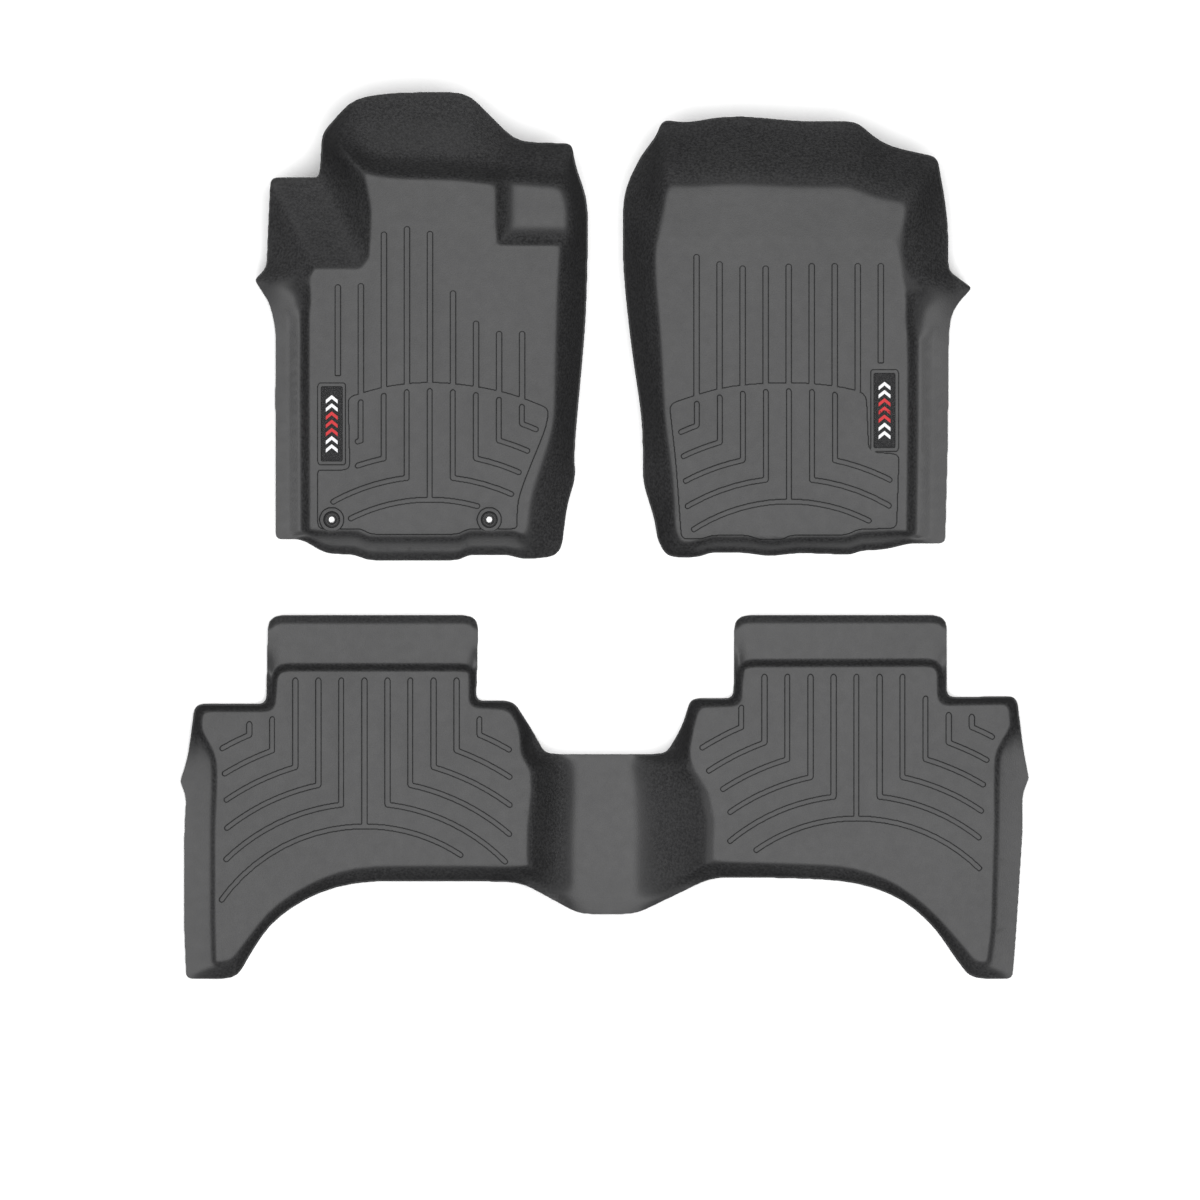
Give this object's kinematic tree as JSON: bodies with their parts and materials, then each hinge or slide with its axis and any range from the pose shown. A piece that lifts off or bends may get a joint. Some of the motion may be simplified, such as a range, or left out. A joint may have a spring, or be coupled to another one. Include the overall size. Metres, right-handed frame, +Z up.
{
  "type": "floor mat set",
  "caption": "Set of moulded floor liners for a double-cab vehicle: driver's, front passenger's and one-piece rear, with drain channels, ribs, badges and retention eyelets.",
  "frame": {"origin": "middle of the laid-out set, on the surface that it lies on", "axes": "+X to the vehicle's right, +Y to its front, +Z up"},
  "size_m": [1.4, 1.46, 0.152],
  "materials": {
    "liner": "fine pebble grain, semi-matt",
    "badge_plate": "gloss",
    "badge_dome": "clear gloss",
    "eyelet": "satin"
  },
  "bodies": {
    "rear": {"rear_liner": "liner"},
    "driver": {"driver_liner": "liner", "driver_badge_plate": "badge_plate", "driver_badge_dome": "badge_dome", "left_eyelet": "eyelet", "right_eyelet": "eyelet", "left_lock_ring": "eyelet", "right_lock_ring": "eyelet"},
    "passenger": {"passenger_liner": "liner", "passenger_badge_plate": "badge_plate", "passenger_badge_dome": "badge_dome"}
  },
  "joints": [
    {"name": "driver_lift", "type": "slide", "parent": "rear", "child": "driver", "axis": [0, 0, 1], "range_m": [0, 0.25]},
    {"name": "passenger_lift", "type": "slide", "parent": "rear", "child": "passenger", "axis": [0, 0, 1], "range_m": [0, 0.25]}
  ]
}
